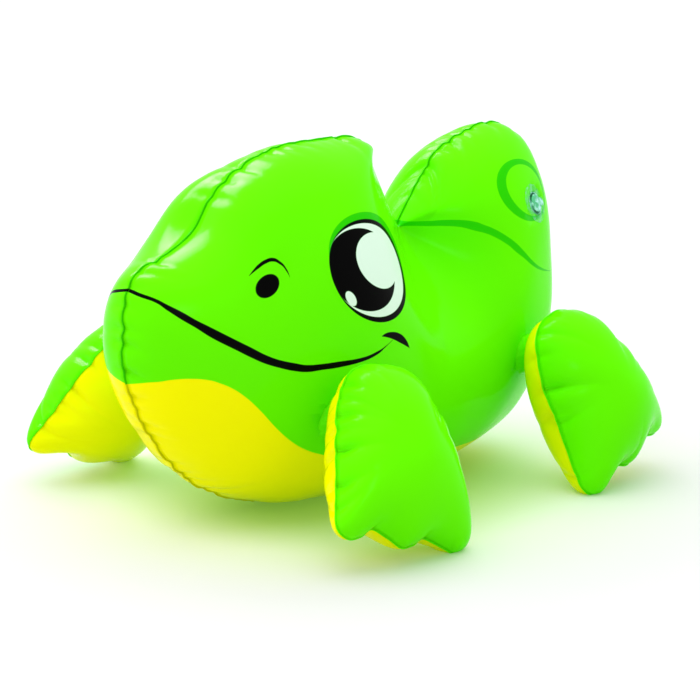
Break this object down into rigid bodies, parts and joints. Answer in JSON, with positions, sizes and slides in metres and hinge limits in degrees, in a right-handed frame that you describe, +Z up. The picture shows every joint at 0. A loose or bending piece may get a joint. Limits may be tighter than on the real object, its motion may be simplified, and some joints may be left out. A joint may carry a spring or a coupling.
{
  "type": "inflatable water toy",
  "caption": "Inflatable film water animal: two-panel body with a notch between head and shell, webbed flippers that flap, and a push-in air valve.",
  "frame": {"origin": "on the floor, under the middle of the toy, in the plane of the body seam", "axes": "+Z up, snout towards -Y, the animal's left side and the valve towards +X"},
  "size_m": [0.3408, 0.3918, 0.2384],
  "materials": {
    "green_film": "glossy soft PVC film, lime green",
    "yellow_film": "glossy soft PVC film, yellow",
    "clear_plastic": "clear soft PVC, slightly milky"
  },
  "bodies": {
    "body": {"body_left_panel": "green_film", "body_right_panel": "green_film", "body_seam": "green_film", "valve_flange": "clear_plastic", "valve_cup": "clear_plastic", "front_left_flipper_neck": "yellow_film", "front_right_flipper_neck": "yellow_film", "rear_left_flipper_neck": "yellow_film", "rear_right_flipper_neck": "yellow_film"},
    "front_left_flipper": {"front_left_flipper_outer_panel": "green_film", "front_left_flipper_inner_panel": "yellow_film", "front_left_flipper_seam": "green_film"},
    "front_right_flipper": {"front_right_flipper_outer_panel": "green_film", "front_right_flipper_inner_panel": "yellow_film", "front_right_flipper_seam": "green_film"},
    "rear_left_flipper": {"rear_left_flipper_outer_panel": "green_film", "rear_left_flipper_inner_panel": "yellow_film", "rear_left_flipper_seam": "green_film"},
    "rear_right_flipper": {"rear_right_flipper_outer_panel": "green_film", "rear_right_flipper_inner_panel": "yellow_film", "rear_right_flipper_seam": "green_film"},
    "valve_stem": {"valve_stem": "clear_plastic", "valve_strap": "clear_plastic"},
    "valve_plug": {"valve_plug": "clear_plastic"},
    "valve_check_flap": {"valve_check_flap": "clear_plastic"}
  },
  "joints": [
    {"name": "front_left_flipper_flap", "type": "hinge", "parent": "body", "child": "front_left_flipper", "pos_m": [0.07908, -0.08202, 0.07533], "axis": [-0.122, -0.9658, 0.2289], "range_deg": [-12, 20], "stiffness_Nm_per_rad": 0.25, "deforming": ["front_left_flipper_neck"]},
    {"name": "front_right_flipper_flap", "type": "hinge", "parent": "body", "child": "front_right_flipper", "pos_m": [-0.07908, -0.08202, 0.07533], "axis": [-0.122, 0.9658, -0.2289], "range_deg": [-12, 20], "stiffness_Nm_per_rad": 0.25, "deforming": ["front_right_flipper_neck"]},
    {"name": "rear_left_flipper_flap", "type": "hinge", "parent": "body", "child": "rear_left_flipper", "pos_m": [0.07169, 0.11199, 0.08159], "axis": [0.105, -0.9661, -0.236], "range_deg": [-12, 20], "stiffness_Nm_per_rad": 0.25, "deforming": ["rear_left_flipper_neck"]},
    {"name": "rear_right_flipper_flap", "type": "hinge", "parent": "body", "child": "rear_right_flipper", "pos_m": [-0.07169, 0.11199, 0.08159], "axis": [0.105, 0.9661, 0.236], "range_deg": [-12, 20], "stiffness_Nm_per_rad": 0.25, "deforming": ["rear_right_flipper_neck"]},
    {"name": "valve_stem_pop", "type": "slide", "parent": "body", "child": "valve_stem", "axis": [0.921, 0.207, 0.33], "range_m": [0, 0.012], "deforming": ["valve_cup"]},
    {"name": "valve_plug_pull", "type": "slide", "parent": "valve_stem", "child": "valve_plug", "axis": [0.921, 0.207, 0.33], "range_m": [0, 0.009], "deforming": ["valve_strap"]},
    {"name": "valve_check_flap_swing", "type": "hinge", "parent": "valve_stem", "child": "valve_check_flap", "pos_m": [0.0367, 0.1422, 0.18217], "axis": [-0.2189, 0.9757, 0], "range_deg": [0, 40], "stiffness_Nm_per_rad": 0.0001}
  ]
}
